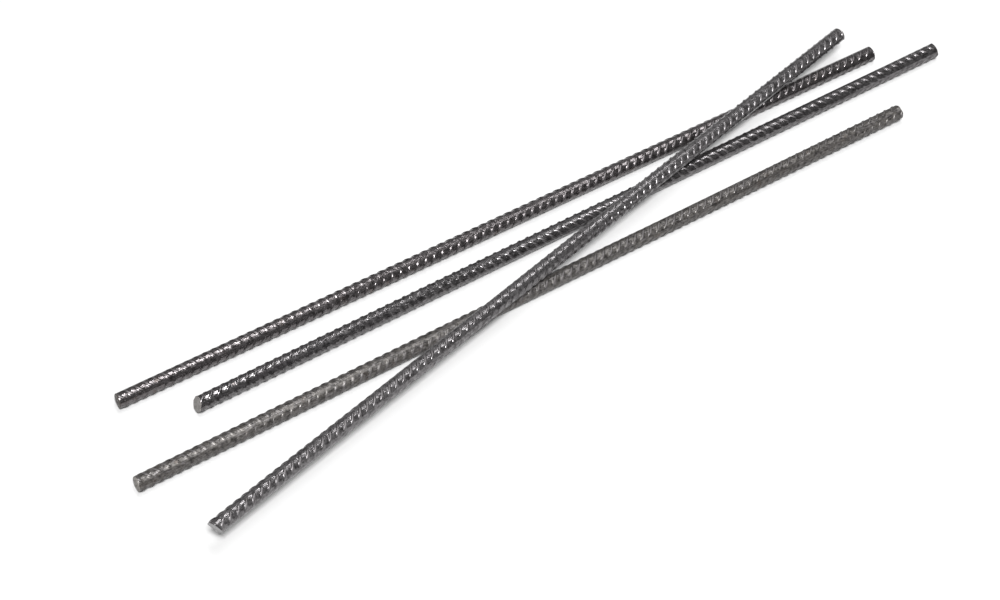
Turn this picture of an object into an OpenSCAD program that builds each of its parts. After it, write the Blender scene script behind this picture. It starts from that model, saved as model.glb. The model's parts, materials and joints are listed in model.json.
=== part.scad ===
// Four loose lengths of ribbed reinforcing bar: three lie side by side on the
// floor, and the fourth lies across all three.
// +X runs along the three lower bars, +Y from the front bar to the back bar.
// The origin is on the floor, under the middle of the whole lay.

/* [Bar] */
// Cut length of every bar
bar_len = 600; // [300:10:1000]
// Diameter over the ribs, 11.2 mm on a bar of 10 mm nominal size
bar_d = 11.2; // [6.8:0.1:13.5]

/* [Spacing of the lower bars] */
// From the middle bar to the back bar, centre to centre
back_step = 25.6; // [18:0.2:60]
// From the middle bar to the front bar, centre to centre
front_step = 35.2; // [18:0.2:60]

/* [Stagger of the lower bars] */
// How far the back bar is pushed towards +X
back_push = -40; // [-80:0.2:80]
// How far the front bar is pushed towards +X
front_push = -59.4; // [-80:0.2:80]

/* [Turn of the lower bars] */
// Back bar, in degrees
back_turn = -0.5; // [-1:0.05:1]
// Middle bar, in degrees
middle_turn = 0.25; // [-1:0.05:1]
// Front bar, in degrees
front_turn = 0.2; // [-1:0.05:1]

/* [Cross bar] */
// Where it passes over the front bar, from that bar's middle towards +X
cross_front = -13.5; // [-60:0.5:60]
// Where it passes over the back bar, measured in from that bar's +X end
cross_back = 89.5; // [20:0.5:140]
// How far it runs on past the back bar
cross_past = 76; // [15:0.5:120]
// Space left between it and the bars that carry it
seat_gap = 0.3; // [0.1:0.1:0.8]

/* [Hidden] */
$fn = 96;
steel = "#5b5653";
bar_r = bar_d / 2;
cross_z = bar_r + bar_d + seat_gap;

// A point on a bar, at a distance along it from its middle
function along(mid, turn, dist) = mid + dist * [cos(turn), sin(turn)];

// Middles of the lower bars, counted from the middle bar's own
middle_mid = [0, 0];
back_mid = middle_mid + [back_push, back_step];
front_mid = middle_mid + [front_push, -front_step];

// The cross bar's line goes through two of its crossings
over_front = along(front_mid, front_turn, cross_front);
over_back = along(back_mid, back_turn, bar_len / 2 - cross_back);
cross_way = over_back - over_front;
cross_turn = atan2(cross_way.y, cross_way.x);
cross_mid = along(over_back, cross_turn, cross_past - bar_len / 2);

// Half the room that a bar takes along X and Y
function half_room(turn) = [
    bar_len / 2 * abs(cos(turn)) + bar_r * abs(sin(turn)),
    bar_len / 2 * abs(sin(turn)) + bar_r * abs(cos(turn))
];

// The middle of the whole lay
BARS = [
    [back_mid, back_turn],
    [middle_mid, middle_turn],
    [front_mid, front_turn],
    [cross_mid, cross_turn]
];
low = [for (axis = [0, 1]) min([for (b = BARS) b[0][axis] - half_room(b[1])[axis]])];
high = [for (axis = [0, 1]) max([for (b = BARS) b[0][axis] + half_room(b[1])[axis]])];
lay_mid = (low + high) / 2;

// One bar, lying with its axis at height z and its middle at mid
module bar(mid, turn, z = bar_r) {
    color(steel)
        translate([mid.x - lay_mid.x, mid.y - lay_mid.y, z])
            rotate([0, 90, turn])
                cylinder(h = bar_len, r = bar_r, center = true);
}

module back_bar() bar(back_mid, back_turn);

module middle_bar() bar(middle_mid, middle_turn);

module front_bar() bar(front_mid, front_turn);

module cross_bar() bar(cross_mid, cross_turn, cross_z);

back_bar();
middle_bar();
front_bar();
cross_bar();
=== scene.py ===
"""Looks of a lay of ribbed reinforcing bars: three on the floor and one across them.

Each bar is hot rolled steel with three rows of crescent ribs and a slow twist,
sheared to length at both ends. Sizes are in millimetres up to the last step of
making a bar, and the frame is in metres.
"""
import json
import math

import bmesh
import bpy
from mathutils import Matrix, Vector


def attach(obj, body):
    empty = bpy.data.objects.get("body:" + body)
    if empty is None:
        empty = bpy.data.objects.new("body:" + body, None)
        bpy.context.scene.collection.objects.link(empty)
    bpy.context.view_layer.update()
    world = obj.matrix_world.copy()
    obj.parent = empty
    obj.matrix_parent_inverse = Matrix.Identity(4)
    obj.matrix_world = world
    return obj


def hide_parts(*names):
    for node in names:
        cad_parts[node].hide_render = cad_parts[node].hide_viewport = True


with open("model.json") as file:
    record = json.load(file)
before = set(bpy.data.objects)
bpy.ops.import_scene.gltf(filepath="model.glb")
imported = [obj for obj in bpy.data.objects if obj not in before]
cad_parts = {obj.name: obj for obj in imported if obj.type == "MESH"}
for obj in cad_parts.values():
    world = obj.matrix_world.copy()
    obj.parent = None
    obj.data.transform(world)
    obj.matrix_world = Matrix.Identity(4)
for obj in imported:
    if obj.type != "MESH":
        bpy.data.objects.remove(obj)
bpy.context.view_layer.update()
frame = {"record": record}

MM = 0.001

# ---- Sizes of the bar, in millimetres ----
CORE_R = 5.05  # radius between the ribs
RIB_H = 0.50  # height of a rib at its middle
RIB_PITCH = 6.5  # from one rib to the next along the bar
RIB_SLANT = 52.0  # degrees between a rib and the bar's axis
ROWS = 3  # rows of ribs around the bar
AROUND = 54  # sides of the bar: a multiple of twice the rows
ROW_ARC = 360 / ROWS
RIB_ARC = 94.0  # degrees of the row's arc that a rib spans; the rest is the smooth band
# Half of a rib's section along the bar: distance from its middle, share of its height
RIB_SECTION = (
    (0.0, 1.0),
    (0.45, 0.98),
    (0.74, 0.88),
    (0.96, 0.55),
    (1.16, 0.20),
    (1.38, 0.04),
    (1.75, 0.0),
    (RIB_PITCH / 2, 0.0),
)
RIB_FULLNESS = 2.6  # how long a rib keeps its height before it runs out at its ends
# Which way the ribs of each row slant, going round from the first row
ROW_SLANTS = (1, -1, -1)

# ---- Each bar: its node, then how its own copy differs ----
# row_angle: where the first row starts at the -X end, in degrees from the top towards the front
# twist: degrees of twist for each millimetre, negative for left-handed
# lead: distance of the first rib from the -X end, mm
# cut: slant of the -X end's face in degrees, positive when it faces up; cut_yaw: turned sideways
# burr: length of the torn point on the rim, mm, and burr_angle: where it stands
# scale, bright: the mill scale's darker and lighter colour; metal: share of bare sheen under dust
# dull: how rough it is; rust: how much of it is brown; face: colour of the sheared end, partly its own tone
# and partly painted light
BARS = {
    "back_bar": dict(row_angle=7.5, twist=-0.20, lead=2.0, cut=4.0, cut_yaw=4.0, burr=0.2,
                     burr_angle=30.0, scale="#3b3838", bright="#6c6869", metal=0.85, dull=0.14,
                     rust=0.3, face="#3d3733"),
    "middle_bar": dict(row_angle=108.5, twist=-0.18, lead=3.4, cut=21.0, cut_yaw=5.0, burr=0.5,
                       burr_angle=-40.0, scale="#393738", bright="#706e6f", metal=0.85, dull=0.11,
                       rust=0.1, face="#94918f"),
    "front_bar": dict(row_angle=-6.0, twist=-0.25, lead=1.0, cut=5.0, cut_yaw=3.0, burr=0.2,
                      burr_angle=100.0, scale="#252322", bright="#5a5754", metal=0.5, dull=0.28,
                      rust=0.25, face="#8c8883"),
    # The cross bar's end colour is painted near white: painted light on an end that faces away from the
    # lamps
    "cross_bar": dict(row_angle=-67.0, twist=-0.25, lead=4.0, cut=-14.0, cut_yaw=-14.0, burr=1.4,
                      burr_angle=-42.0, scale="#3e3c3d", bright="#757374", metal=0.75, dull=0.15,
                      rust=0.1, face="#dad7d3"),
}


# ---- Small helpers ----

def linear(hex_colour):
    """An sRGB hex colour as linear RGBA."""
    out = []
    for i in (1, 3, 5):
        c = int(hex_colour[i:i + 2], 16) / 255
        out.append(c / 12.92 if c <= 0.04045 else ((c + 0.055) / 1.055) ** 2.4)
    return (*out, 1.0)


def deselect_all():
    bpy.ops.object.select_all(action="DESELECT")


def pick(obj):
    """Make obj the only selected object, and the active one."""
    deselect_all()
    obj.select_set(True)
    bpy.context.view_layer.objects.active = obj


def select_points(test):
    """In edit mode, select the points whose place passes the test, and count them."""
    mesh = bmesh.from_edit_mesh(bpy.context.edit_object.data)
    for v in mesh.verts:
        v.select = bool(test(v.co))
    mesh.select_flush_mode()
    bmesh.update_edit_mesh(bpy.context.edit_object.data)
    return sum(v.select for v in mesh.verts)


def angle_of(co):
    """Degrees round the bar from the top towards the front."""
    return math.degrees(math.atan2(-co.y, co.z))


def modify(obj, kind, **settings):
    """Add a modifier, set it and apply it."""
    mod = obj.modifiers.new(kind.lower(), kind)
    for name, value in settings.items():
        setattr(mod, name, value)
    pick(obj)
    bpy.ops.object.modifier_apply(modifier=mod.name)


# ---- One pitch of the bar ----

def ring_places():
    """Where the rings of one pitch stand along the bar, with each ring's share of rib height."""
    before = [(-x, share) for x, share in reversed(RIB_SECTION[1:])]
    return before + list(RIB_SECTION)


def raise_rib():
    """Lift the top row's rib, a pair of lengthwise lines of points at a time, into a crescent."""
    step = 360 / AROUND
    for angle in (step * (i + 0.5) for i in range(int(RIB_ARC / 2 / step + 0.5))):
        height = RIB_H * (1 - (angle / (RIB_ARC / 2)) ** RIB_FULLNESS)
        for x, share in RIB_SECTION:
            if share > 0:
                select_points(lambda co: abs(abs(co.x) - x) < 0.01
                              and abs(abs(angle_of(co)) - angle) < step * 0.4)
                lift = 1 + height * share / CORE_R
                bpy.ops.transform.resize(value=(1, lift, lift), center_override=(0, 0, 0))


def slide_of(row, angle):
    """How far the point at this angle of a row slides along the bar, to slant its rib.

    The smooth bands on both sides take up the step from one row to the next.
    """
    reach = math.radians(RIB_ARC / 2) * CORE_R / math.tan(math.radians(RIB_SLANT))

    def middle(r):
        steps = (0, 2 / 3, -2 / 3)
        return steps[r % ROWS] * reach

    def end(r, side):
        return middle(r) + side * ROW_SLANTS[r % ROWS] * reach

    share = angle / (RIB_ARC / 2)
    if abs(share) <= 1:
        return middle(row) + share * ROW_SLANTS[row] * reach
    side = 1 if angle > 0 else -1
    joint = (end(row, side) + end(row + side, -side)) / 2
    part = (abs(angle) - RIB_ARC / 2) / (ROW_ARC / 2 - RIB_ARC / 2)
    return end(row, side) + part * (joint - end(row, side))


def make_pitch():
    """One pitch of the bar, along X: a tube with its three rows of ribs."""
    rings = ring_places()
    deselect_all()
    bpy.ops.mesh.primitive_circle_add(vertices=AROUND, radius=CORE_R, location=(rings[0][0], 0, 0),
                                      rotation=(0, math.pi / 2, 0))
    tube = bpy.context.active_object
    bpy.ops.object.transform_apply(location=True, rotation=True, scale=True)
    bpy.ops.object.mode_set(mode="EDIT")
    bpy.ops.mesh.select_mode(type="VERT")
    bpy.ops.mesh.select_all(action="SELECT")
    for (x0, _), (x1, _) in zip(rings, rings[1:]):
        bpy.ops.mesh.extrude_region_move(TRANSFORM_OT_translate={"value": (x1 - x0, 0, 0)})
    for row in range(ROWS):
        raise_rib()
        step = 360 / AROUND
        for i in range(AROUND // ROWS):
            angle = (i + 0.5) * step - ROW_ARC / 2
            slide = slide_of(row, angle)
            select_points(lambda co: abs(angle_of(co) - angle) < step * 0.4)
            bpy.ops.transform.translate(value=(slide, 0, 0))
        bpy.ops.mesh.select_all(action="SELECT")
        bpy.ops.transform.rotate(value=math.radians(ROW_ARC), orient_axis="X",
                                 center_override=(0, 0, 0))
    bpy.ops.mesh.select_all(action="SELECT")
    bpy.ops.mesh.normals_make_consistent(inside=False)
    bpy.ops.object.mode_set(mode="OBJECT")
    return tube


# ---- A whole bar ----

ROLL = 0.5  # how far the rim of a sheared end is rolled over, mm
# The end's rings, each as a step out from the last one in mm and its share of that one's width
RIM_RINGS = ((ROLL * 0.65, 0.965), (ROLL * 0.35, 0.955))
FACE_RINGS = ((0.03, 0.86), (-0.07, 0.75), (-0.05, 0.65), (0.04, 0.5))
TEAR = 0.09  # roughness of the torn face, mm
FAR_CUT = 3.0  # slant of the +X end's face, degrees


def select_faces(test):
    """In edit mode, select the faces whose middle passes the test."""
    mesh = bmesh.from_edit_mesh(bpy.context.edit_object.data)
    for face in mesh.faces:
        face.select = bool(test(face.calc_center_median()))
    mesh.select_flush(True)
    bmesh.update_edit_mesh(bpy.context.edit_object.data)


def step_out(way, distance, shrink, middle):
    """Extrude the selected end face outwards and draw its rim in."""
    bpy.ops.mesh.extrude_region_move(TRANSFORM_OT_translate={"value": way * distance})
    bpy.ops.transform.resize(value=(shrink, shrink, shrink), center_override=middle)


def end_plane(length, spec, far):
    """Middle and outward normal of an end's cut, set in so that the end stays within the length."""
    side = 1 if far else -1
    tilt = math.tan(math.radians(FAR_CUT if far else spec["cut"]))
    yaw = math.tan(math.radians(0 if far else spec["cut_yaw"]))
    room = CORE_R * 0.95 * math.hypot(tilt, yaw) + ROLL + (TEAR if far else spec["burr"] * 0.6)
    middle = Vector(((length if far else 0) - side * room, 0, 0))
    return middle, Vector((side, yaw, tilt)).normalized()


def shear_end(length, spec, far):
    """Cut one end off at a slant, close it, roll its rim over and roughen its face."""
    middle, normal = end_plane(length, spec, far)
    bpy.ops.mesh.select_all(action="SELECT")
    bpy.ops.mesh.bisect(plane_co=middle, plane_no=normal, use_fill=True, clear_outer=True)
    select_faces(lambda co: abs((co - middle).dot(normal)) < 0.01)
    height = 0.0
    for rise, shrink in RIM_RINGS + FACE_RINGS:
        height += rise
        step_out(normal, rise, shrink, middle + normal * height)
    bpy.ops.mesh.poke()
    select_faces(lambda co: (co - middle).dot(normal) > ROLL * 0.2)
    bpy.context.object.active_material_index = 1
    bpy.ops.object.material_slot_assign()
    select_points(lambda co: (co - middle).dot(normal) > ROLL * 0.3
                  and math.hypot(co.y, co.z) < CORE_R * 0.84)
    bpy.ops.transform.vertex_random(offset=TEAR, seed=3)


def raise_burr(length, spec):
    """Pull a torn point out of the -X end's rim, a wide foot first and then its tip."""
    middle, normal = end_plane(length, spec, far=False)
    for width, share in ((22, 0.4), (10, 0.6)):
        found = select_points(lambda co: (co - middle).dot(normal) > ROLL * 0.3
                              and math.hypot(co.y, co.z) > CORE_R * 0.82
                              and abs(angle_of(co) - spec["burr_angle"]) < width)
        if found:
            bpy.ops.transform.translate(value=normal * spec["burr"] * share)


def turn_first_row(bar, angle):
    """Turn the bar about its axis until its first row stands at this angle at the -X end."""
    bar.rotation_euler.x = math.radians(angle)
    pick(bar)
    bpy.ops.object.transform_apply(location=False, rotation=True, scale=False)


WAVE_MM = 5.0  # length of the rolled surface's slight waves
WAVE_H = 0.07  # their height, mm


def make_bar(name, pitch, length, spec):
    """A bar of this length along X from the origin, in millimetres."""
    pick(pitch)
    bpy.ops.object.duplicate()
    bar = bpy.context.active_object
    bar.name = name
    bar.data.materials.clear()
    bar.data.materials.append(mill_scale(name, spec))
    bar.data.materials.append(sheared_steel(name, spec))
    count = math.ceil(length / RIB_PITCH) + 6
    modify(bar, "ARRAY", count=count, use_relative_offset=False, use_constant_offset=True,
           constant_offset_displace=(RIB_PITCH, 0, 0), use_merge_vertices=True, merge_threshold=0.002)
    pick(bar)
    bar.location.x = spec["lead"] - 3 * RIB_PITCH
    bpy.ops.object.transform_apply(location=True, rotation=False, scale=False)
    low = min(v.co.x for v in bar.data.vertices)
    high = max(v.co.x for v in bar.data.vertices)
    modify(bar, "SIMPLE_DEFORM", deform_method="TWIST", deform_axis="X",
           angle=math.radians(spec["twist"] * (high - low)))
    turn_first_row(bar, spec["row_angle"])
    waves = bpy.data.textures.new(name + "_waves", "CLOUDS")
    waves.noise_scale = WAVE_MM
    modify(bar, "DISPLACE", texture=waves, strength=WAVE_H, mid_level=0.5, texture_coords="LOCAL")
    bpy.ops.object.mode_set(mode="EDIT")
    bpy.ops.mesh.select_mode(type="VERT")
    shear_end(length, spec, far=False)
    raise_burr(length, spec)
    shear_end(length, spec, far=True)
    bpy.ops.object.mode_set(mode="OBJECT")
    bpy.ops.object.shade_smooth_by_angle(angle=math.radians(50))
    return bar


def bar_axis(node):
    """The two ends of a node's axis, from the record's mounts, in metres."""
    ends = {m["name"]: Vector(m["pos_m"]) for m in frame["record"]["mounts"]}
    return ends[node + "_minus_x_end"], ends[node + "_plus_x_end"]


def bar_turn(node):
    start, stop = bar_axis(node)
    return math.atan2(stop.y - start.y, stop.x - start.x)


def seat(bar, node):
    """Scale the bar to metres and lay it along its node's axis."""
    start, _ = bar_axis(node)
    bar.matrix_world = (Matrix.Translation(start) @ Matrix.Rotation(bar_turn(node), 4, "Z")
                        @ Matrix.Scale(MM, 4))
    pick(bar)
    bpy.ops.object.transform_apply(location=True, rotation=True, scale=True)


# ---- Materials ----

def add(tree, kind, inputs=None, **settings):
    """Add a node with its settings. Inputs are values, or (node, output) pairs to link."""
    node = tree.nodes.new(kind)
    for name, value in settings.items():
        setattr(node, name, value)
    for key, value in (inputs or {}).items():
        if isinstance(value, tuple) and len(value) == 2 and isinstance(value[0], bpy.types.Node):
            tree.links.new(value[0].outputs[value[1]], node.inputs[key])
        else:
            node.inputs[key].default_value = value
    return node


def new_material(name):
    material = bpy.data.materials.new(name)
    material.use_nodes = True
    material.node_tree.nodes.clear()
    return material, material.node_tree


def along_bar(tree, node):
    """Object coordinates turned along a node's axis and scaled to millimetres from its -X end."""
    start, _ = bar_axis(node)
    turn = bar_turn(node)
    place = Matrix.Rotation(-turn, 3, "Z") @ start / -MM
    return add(tree, "ShaderNodeMapping", {
        "Vector": (add(tree, "ShaderNodeTexCoord"), "Object"), "Location": place,
        "Rotation": (0, 0, -turn), "Scale": (1 / MM, 1 / MM, 1 / MM)})


def noise(tree, place, size_mm, detail=3.0, roughness=0.6, stretch=1.0):
    """Noise with features of this size. A stretch above 1 draws them out along the bar."""
    if stretch != 1.0:
        place = add(tree, "ShaderNodeMapping", {
            "Vector": (place, "Vector"), "Scale": (1 / stretch, 1, 1)})
    return add(tree, "ShaderNodeTexNoise", {
        "Vector": (place, "Vector"), "Scale": 1 / size_mm, "Detail": detail, "Roughness": roughness})


def ramp_of(tree, source, output, low, high, out_low=0.0, out_high=1.0):
    """A value remapped from low..high to out_low..out_high, and held at both ends."""
    return add(tree, "ShaderNodeMapRange", {
        "Value": (source, output), "From Min": low, "From Max": high, "To Min": out_low,
        "To Max": out_high})


def mix(tree, share, first, second):
    """Mix two colours; each is a hex string or a node whose output 2 is a colour."""
    inputs = {0: (share, 0)}
    for slot, colour in ((6, first), (7, second)):
        inputs[slot] = linear(colour) if isinstance(colour, str) else (colour, 2)
    return add(tree, "ShaderNodeMix", inputs, data_type="RGBA")


# Mill scale on hot rolled steel: a thin hard oxide, blue-grey to black, smooth where it is whole
# and dull where it has flaked. It gives small sharp glints over a dark, cloudy grey.
def mill_scale(name, spec):
    node = name.replace("_ribbed", "")
    material, tree = new_material(node + "_mill_scale")
    place = along_bar(tree, node)
    clouds = noise(tree, place, 2.6, detail=5, roughness=0.7)
    grain = noise(tree, place, 0.9, detail=2)
    streaks = noise(tree, place, 0.55, detail=3, stretch=9.0)
    patches = noise(tree, place, 9.0, detail=5, roughness=0.7)
    radius = add(tree, "ShaderNodeVectorMath", {0: (add(tree, "ShaderNodeVectorMath", {
        0: (place, "Vector"), 1: (0, 1, 1)}, operation="MULTIPLY"), 0)}, operation="LENGTH")
    crest = ramp_of(tree, radius, "Value", CORE_R + RIB_H * 0.55, CORE_R + RIB_H * 0.9)
    cloudy = ramp_of(tree, clouds, 0, 0.38, 0.62)
    streaky = ramp_of(tree, streaks, 0, 0.50, 0.72)
    dull = ramp_of(tree, grain, 0, 0.42, 0.62)
    rusty = ramp_of(tree, patches, 0, 0.66 - 0.22 * spec["rust"], 0.80 - 0.16 * spec["rust"], 0,
                    0.6)
    colour = mix(tree, cloudy, spec["scale"], spec["bright"])
    colour = mix(tree, ramp_of(tree, streaky, 0, 0, 1, 0, 0.5), colour, "#989496")
    colour = mix(tree, ramp_of(tree, crest, 0, 0, 1, 0, 0.5), colour, "#636061")
    colour = mix(tree, rusty, colour, "#55483f")
    rough = add(tree, "ShaderNodeMath", {
        0: (ramp_of(tree, dull, 0, 0, 1, spec["dull"], spec["dull"] + 0.14), 0),
        1: (ramp_of(tree, rusty, 0, 0, 1, 0, 0.2), 0)}, operation="ADD")
    rough = add(tree, "ShaderNodeMath", {
        0: (rough, 0), 1: (ramp_of(tree, crest, 0, 0, 1, 0, 0.26), 0)}, operation="ADD")
    height = add(tree, "ShaderNodeMath", {
        0: (grain, 0), 1: (add(tree, "ShaderNodeMath", {0: (streaks, 0), 1: 0.6},
                               operation="MULTIPLY"), 0)}, operation="ADD")
    bump = add(tree, "ShaderNodeBump", {
        "Strength": 0.05 + 1.5 * spec["dull"], "Distance": 0.00005, "Height": (height, 0)})
    shader = add(tree, "ShaderNodeBsdfPrincipled", {
        "Base Color": (colour, 2), "Metallic": spec["metal"], "Roughness": (rough, 0), "Normal": (bump, 0)})
    add(tree, "ShaderNodeOutputMaterial", {"Surface": (shader, "BSDF")})
    return material


# The end of a bar cut in a bar shear: bare steel, part smeared bright and part torn dull. Its lighter
# colour, given per bar, is partly the end's own tone and partly painted light; the cross bar's end is
# painted bright though it faces away from the lamps.
def sheared_steel(name, spec):
    node = name.replace("_ribbed", "")
    material, tree = new_material(node + "_sheared_steel")
    place = along_bar(tree, node)
    torn = noise(tree, place, 0.8, detail=4, roughness=0.7)
    smears = noise(tree, place, 2.4, detail=2)
    # The lighter colour is the bar's end colour, with painted light in it
    colour = mix(tree, ramp_of(tree, torn, 0, 0.38, 0.6, 0.1, 1), "#4c4743", spec["face"])
    rough = ramp_of(tree, smears, 0, 0.4, 0.6, 0.34, 0.55)
    bump = add(tree, "ShaderNodeBump", {"Strength": 0.9, "Distance": 0.00015, "Height": (torn, 0)})
    shader = add(tree, "ShaderNodeBsdfPrincipled", {
        "Base Color": (colour, 2), "Metallic": 0.35, "Roughness": (rough, 0), "Normal": (bump, 0)})
    add(tree, "ShaderNodeOutputMaterial", {"Surface": (shader, "BSDF")})
    return material


def floor_paint():
    material, tree = new_material("white_floor_paint")
    shader = add(tree, "ShaderNodeBsdfPrincipled", {
        "Base Color": linear("#c2c2c2"), "Roughness": 0.9})
    add(tree, "ShaderNodeOutputMaterial", {"Surface": (shader, "BSDF")})
    return material


# ---- Camera, floor and lights ----

CAMERA_DROP = 50.0  # degrees that the view looks down
CAMERA_TURN = 32.26  # degrees between the picture's width and the lower bars
CAMERA_FAR = 1.6511  # metres from the camera to the point it looks at
LENS_MM = 90.4
SENSOR_MM = 36.0
LOOK_AT = Vector((-0.0589, -0.0016, 0.0056))


def view_frame():
    """Unit vectors on the floor: to the right of the view and away from the camera."""
    turn = math.radians(CAMERA_TURN)
    right = Vector((math.cos(turn), -math.sin(turn), 0))
    away = Vector((math.sin(turn), math.cos(turn), 0))
    return right, away


def add_camera():
    right, away = view_frame()
    drop = math.radians(CAMERA_DROP)
    look = away * math.cos(drop) - Vector((0, 0, math.sin(drop)))
    data = bpy.data.cameras.new("camera")
    data.lens = LENS_MM
    data.sensor_width = SENSOR_MM
    camera = bpy.data.objects.new("camera", data)
    camera.location = LOOK_AT - look * CAMERA_FAR
    camera.rotation_euler = look.to_track_quat("-Z", "Y").to_euler()
    bpy.context.scene.collection.objects.link(camera)
    bpy.context.scene.camera = camera


def add_floor():
    deselect_all()
    bpy.ops.mesh.primitive_plane_add(size=12, location=(0, 0, 0))
    floor = bpy.context.active_object
    floor.name = "floor"
    floor.data.materials.append(floor_paint())


def add_light(name, way, reach, size_m, watts):
    """A soft box aimed at the bars, its size given across the lower bars and along them.

    Its way is given as right, away from the camera and up.
    """
    right, away = view_frame()
    data = bpy.data.lights.new(name, "AREA")
    data.shape = "RECTANGLE"
    data.size, data.size_y = size_m
    data.energy = watts
    light = bpy.data.objects.new(name, data)
    back = (right * way[0] + away * way[1] + Vector((0, 0, way[2]))).normalized()
    along = Vector((1, 0, 0))
    along = (along - back * along.dot(back)).normalized()
    light.location = back * reach
    light.rotation_euler = Matrix((along.cross(back), along, back)).transposed().to_euler()
    bpy.context.scene.collection.objects.link(light)


def add_lights():
    add_light("key_box", (0.09, -0.44, 0.90), 6.0, (1.8, 1.8), 600)
    add_light("near_strip", (0.035, 0.20, 0.97), 3.0, (1.9, 0.13), 26)
    add_light("far_strip", (0.30, 0.35, 0.89), 3.0, (1.8, 0.18), 14)
    add_light("back_box", (-0.1, 0.75, 0.65), 3.0, (2.4, 2.4), 6)
    world = bpy.data.worlds.new("studio")
    world.use_nodes = True
    world.node_tree.nodes["Background"].inputs["Color"].default_value = (1, 1, 1, 1)
    world.node_tree.nodes["Background"].inputs["Strength"].default_value = 0.11
    scene = bpy.context.scene
    scene.world = world
    scene.view_settings.view_transform = "Standard"


def main():
    add_camera()
    add_floor()
    add_lights()
    pitch = make_pitch()
    for node, spec in BARS.items():
        start, stop = bar_axis(node)
        bar = make_bar(node + "_ribbed", pitch, (stop - start).length / MM, spec)
        seat(bar, node)
        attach(bar, "root")
        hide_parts(node)
    bpy.data.objects.remove(pitch)


main()
